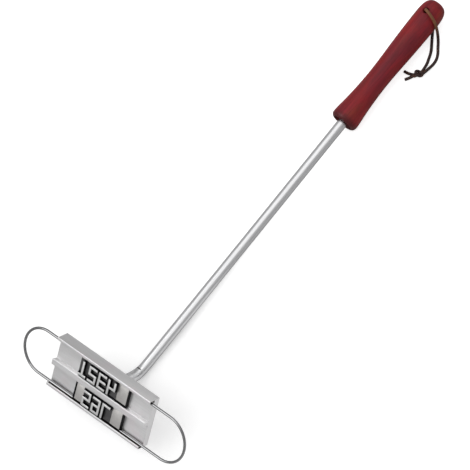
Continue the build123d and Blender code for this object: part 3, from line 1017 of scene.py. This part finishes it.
class IRON_OT_stage(Operator):
    """Sets up the camera, the floor, the soft light and the white surroundings"""

    bl_idname = "iron.add_stage"
    bl_label = "Add stage"

    camera_place = (1.9022, -0.80805, 3.6082)
    camera_azimuth = 67.937
    camera_elevation = 60.110
    camera_roll = 30.843
    camera_lens = 400
    floor_size = 3.0

    def execute(self, context):
        self.add_camera()
        self.add_floor()
        self.add_lamps()
        self.add_world()
        bpy.context.scene.view_settings.view_transform = "Standard"
        return {"FINISHED"}

    def add_camera(self):
        data = bpy.data.cameras.new("camera")
        data.lens = self.camera_lens
        data.clip_end = 50
        camera = bpy.data.objects.new("camera", data)
        bpy.context.scene.collection.objects.link(camera)
        turn, rise = radians(self.camera_azimuth), radians(self.camera_elevation)
        back = Vector((sin(turn) * cos(rise), -cos(turn) * cos(rise), sin(rise)))
        level = (-back).to_track_quat("-Z", "Y").to_matrix()
        rolled = level @ Matrix.Rotation(radians(-self.camera_roll), 3, "Z")
        camera.matrix_world = Matrix.Translation(self.camera_place) @ rolled.to_4x4()
        bpy.context.scene.camera = camera

    def add_floor(self):
        clear_selection()
        bpy.ops.mesh.primitive_plane_add(size=self.floor_size, location=(0, 0, 0))
        floor = bpy.context.active_object
        floor.name = "pale_floor"
        material = bpy.data.materials.new("pale_floor")
        material.use_nodes = True
        tree = material.node_tree
        shader = tree.nodes["Principled BSDF"]
        shader.inputs["Base Color"].default_value = colours().floor
        shader.inputs["Roughness"].default_value = 0.9
        shader.inputs["Specular IOR Level"].default_value = 0.0
        rays = add_node(tree, "LightPath")
        glow = add_node(tree, "Emission")
        place = add_node(tree, "SeparateXYZ")
        tree.links.new(stretched(tree, (1, 1, 1)), place.inputs[0])
        # Painted reflection: a patch of floor to the right of the head glows for glossy rays only, so that the stem and
        # the head's end mirror it.
        right = ramp(tree, place.outputs["X"], 0.0, 0.012)
        near_head = ramp(tree, place.outputs["Y"], -0.085, -0.045, 0.83, 0.0)
        painted_reflection_patch = self.sum_up(tree, "MULTIPLY", self.sum_up(tree, "MULTIPLY", right, near_head), rays.outputs["Is Glossy Ray"])
        # Painted light: the floor that the camera sees glows more towards the handle, which lifts the shadows there.
        seen = self.sum_up(tree, "MULTIPLY", rays.outputs["Is Camera Ray"], ramp(tree, place.outputs["Y"], -0.12, -0.03, 1.0, 1.9))
        tint = colours().floor
        tree.links.new(blend(tree, rays.outputs["Is Camera Ray"], tint, shade(tint, 1.45)), shader.inputs["Base Color"])
        tree.links.new(self.sum_up(tree, "ADD", painted_reflection_patch, seen), glow.inputs["Strength"])
        glow.inputs["Color"].default_value = (0.37, 0.37, 0.37, 1)
        both = add_node(tree, "AddShader")
        tree.links.new(shader.outputs[0], both.inputs[0])
        tree.links.new(glow.outputs[0], both.inputs[1])
        tree.links.new(both.outputs[0], tree.nodes["Material Output"].inputs["Surface"])
        floor.data.materials.append(material)

    def add_lamps(self):
        self.add_softbox("key_light", (-0.7, -0.8, 1.4), (0, 0, 0), 1.4, 9)
        self.add_softbox("top_light", (-0.1, 0.1, 2.2), (0, 0, 0), 2.6, 11)

    def add_softbox(self, name, place, aim, size, power):
        data = bpy.data.lights.new(name, "AREA")
        data.size = size
        data.energy = power
        lamp = bpy.data.objects.new(name, data)
        bpy.context.scene.collection.objects.link(lamp)
        lamp.location = place
        lamp.rotation_euler = (Vector(aim) - Vector(place)).to_track_quat("-Z", "Y").to_euler()

    def add_world(self):
        """Plain light from all round; polished metal also sees a darker band at the horizon."""
        world = bpy.context.scene.world or bpy.data.worlds.new("world")
        bpy.context.scene.world = world
        world.use_nodes = True
        tree = world.node_tree
        tree.nodes.clear()
        output = add_node(tree, "OutputWorld")
        place = add_node(tree, "TexCoord")
        split = add_node(tree, "SeparateXYZ")
        tree.links.new(place.outputs["Generated"], split.inputs[0])
        rise = self.sum_up(tree, "MAXIMUM", split.outputs["Z"], 0.0)
        height = self.sum_up(tree, "MULTIPLY", rise, rise)
        overhead = self.sum_up(tree, "MULTIPLY", height, 0.35)
        front = self.sum_up(tree, "MULTIPLY", split.outputs["Y"], -0.15)
        level = self.sum_up(tree, "ADD", self.sum_up(tree, "ADD", overhead, front), 0.45)
        off_strip = self.sum_up(tree, "ABSOLUTE", split.outputs["X"], 0.0)
        across_strip = ramp(tree, off_strip, 0.26, 0.44, 0.5, 0.0)
        strip = self.sum_up(tree, "MULTIPLY", across_strip, ramp(tree, split.outputs["Y"], 0.3, 0.5))
        level = self.sum_up(tree, "ADD", level, strip)
        glow = self.facing(tree, place.outputs["Generated"], (-0.457, -0.46, 0.761))
        level = self.sum_up(tree, "ADD", level, ramp(tree, glow, 0.9, 0.96, 0.0, 1.7))
        seen = add_node(tree, "Background")
        seen.inputs["Color"].default_value = (1, 1, 1, 1)
        tree.links.new(level, seen.inputs["Strength"])
        plain = add_node(tree, "Background", strength=0.62)
        plain.inputs["Color"].default_value = (1, 1, 1, 1)
        white = add_node(tree, "Background", strength=1.0)
        white.inputs["Color"].default_value = (1, 1, 1, 1)
        rays = add_node(tree, "LightPath")
        glossy = add_node(tree, "MixShader")
        tree.links.new(rays.outputs["Is Glossy Ray"], glossy.inputs[0])
        tree.links.new(plain.outputs[0], glossy.inputs[1])
        tree.links.new(seen.outputs[0], glossy.inputs[2])
        clear = add_node(tree, "Math", operation="MAXIMUM")
        tree.links.new(rays.outputs["Is Camera Ray"], clear.inputs[0])
        tree.links.new(rays.outputs["Is Transmission Ray"], clear.inputs[1])
        final = add_node(tree, "MixShader")
        tree.links.new(clear.outputs[0], final.inputs[0])
        tree.links.new(glossy.outputs[0], final.inputs[1])
        tree.links.new(white.outputs[0], final.inputs[2])
        tree.links.new(final.outputs[0], output.inputs["Surface"])

    def facing(self, tree, direction, way):
        """How far a direction points the given way, from -1 to 1."""
        product = add_node(tree, "VectorMath", operation="DOT_PRODUCT")
        tree.links.new(direction, product.inputs[0])
        product.inputs[1].default_value = way
        return product.outputs["Value"]

    def sum_up(self, tree, way, first, second):
        """One step of arithmetic on a socket and a socket or number."""
        step = add_node(tree, "Math", operation=way)
        for entry, value in zip(step.inputs, (first, second)):
            if isinstance(value, bpy.types.NodeSocket):
                tree.links.new(value, entry)
            else:
                entry.default_value = value
        return step.outputs[0]


OPERATORS = [
    IRON_OT_stage,
    IRON_OT_lace,
    IRON_OT_head,
    IRON_OT_type,
    IRON_OT_wires,
    IRON_OT_stem,
    IRON_OT_fasteners,
    IRON_OT_handle,
]


class IRON_PT_panel(Panel):
    """Lists the iron's pieces, sizes and colours"""

    bl_label = "Branding Iron"
    bl_idname = "IRON_PT_panel"
    bl_space_type = "VIEW_3D"
    bl_region_type = "UI"
    bl_category = "Branding Iron"

    def draw(self, context):
        for operator in OPERATORS:
            self.layout.operator(operator.bl_idname)
        for group in (context.scene.iron_sizes, context.scene.iron_colours):
            for name in group.__annotations__:
                self.layout.prop(group, name)


CLASSES = [IronSizes, IronColours, *OPERATORS, IRON_PT_panel]


def register():
    for item in CLASSES:
        bpy.utils.register_class(item)
    bpy.types.Scene.iron_sizes = PointerProperty(type=IronSizes)
    bpy.types.Scene.iron_colours = PointerProperty(type=IronColours)


def unregister():
    del bpy.types.Scene.iron_colours
    del bpy.types.Scene.iron_sizes
    for item in reversed(CLASSES):
        bpy.utils.unregister_class(item)


def main():
    register()
    for operator in OPERATORS:
        group, name = operator.bl_idname.split(".")
        getattr(getattr(bpy.ops, group), name)()
    clear_selection()


if __name__ == "__main__":
    main()
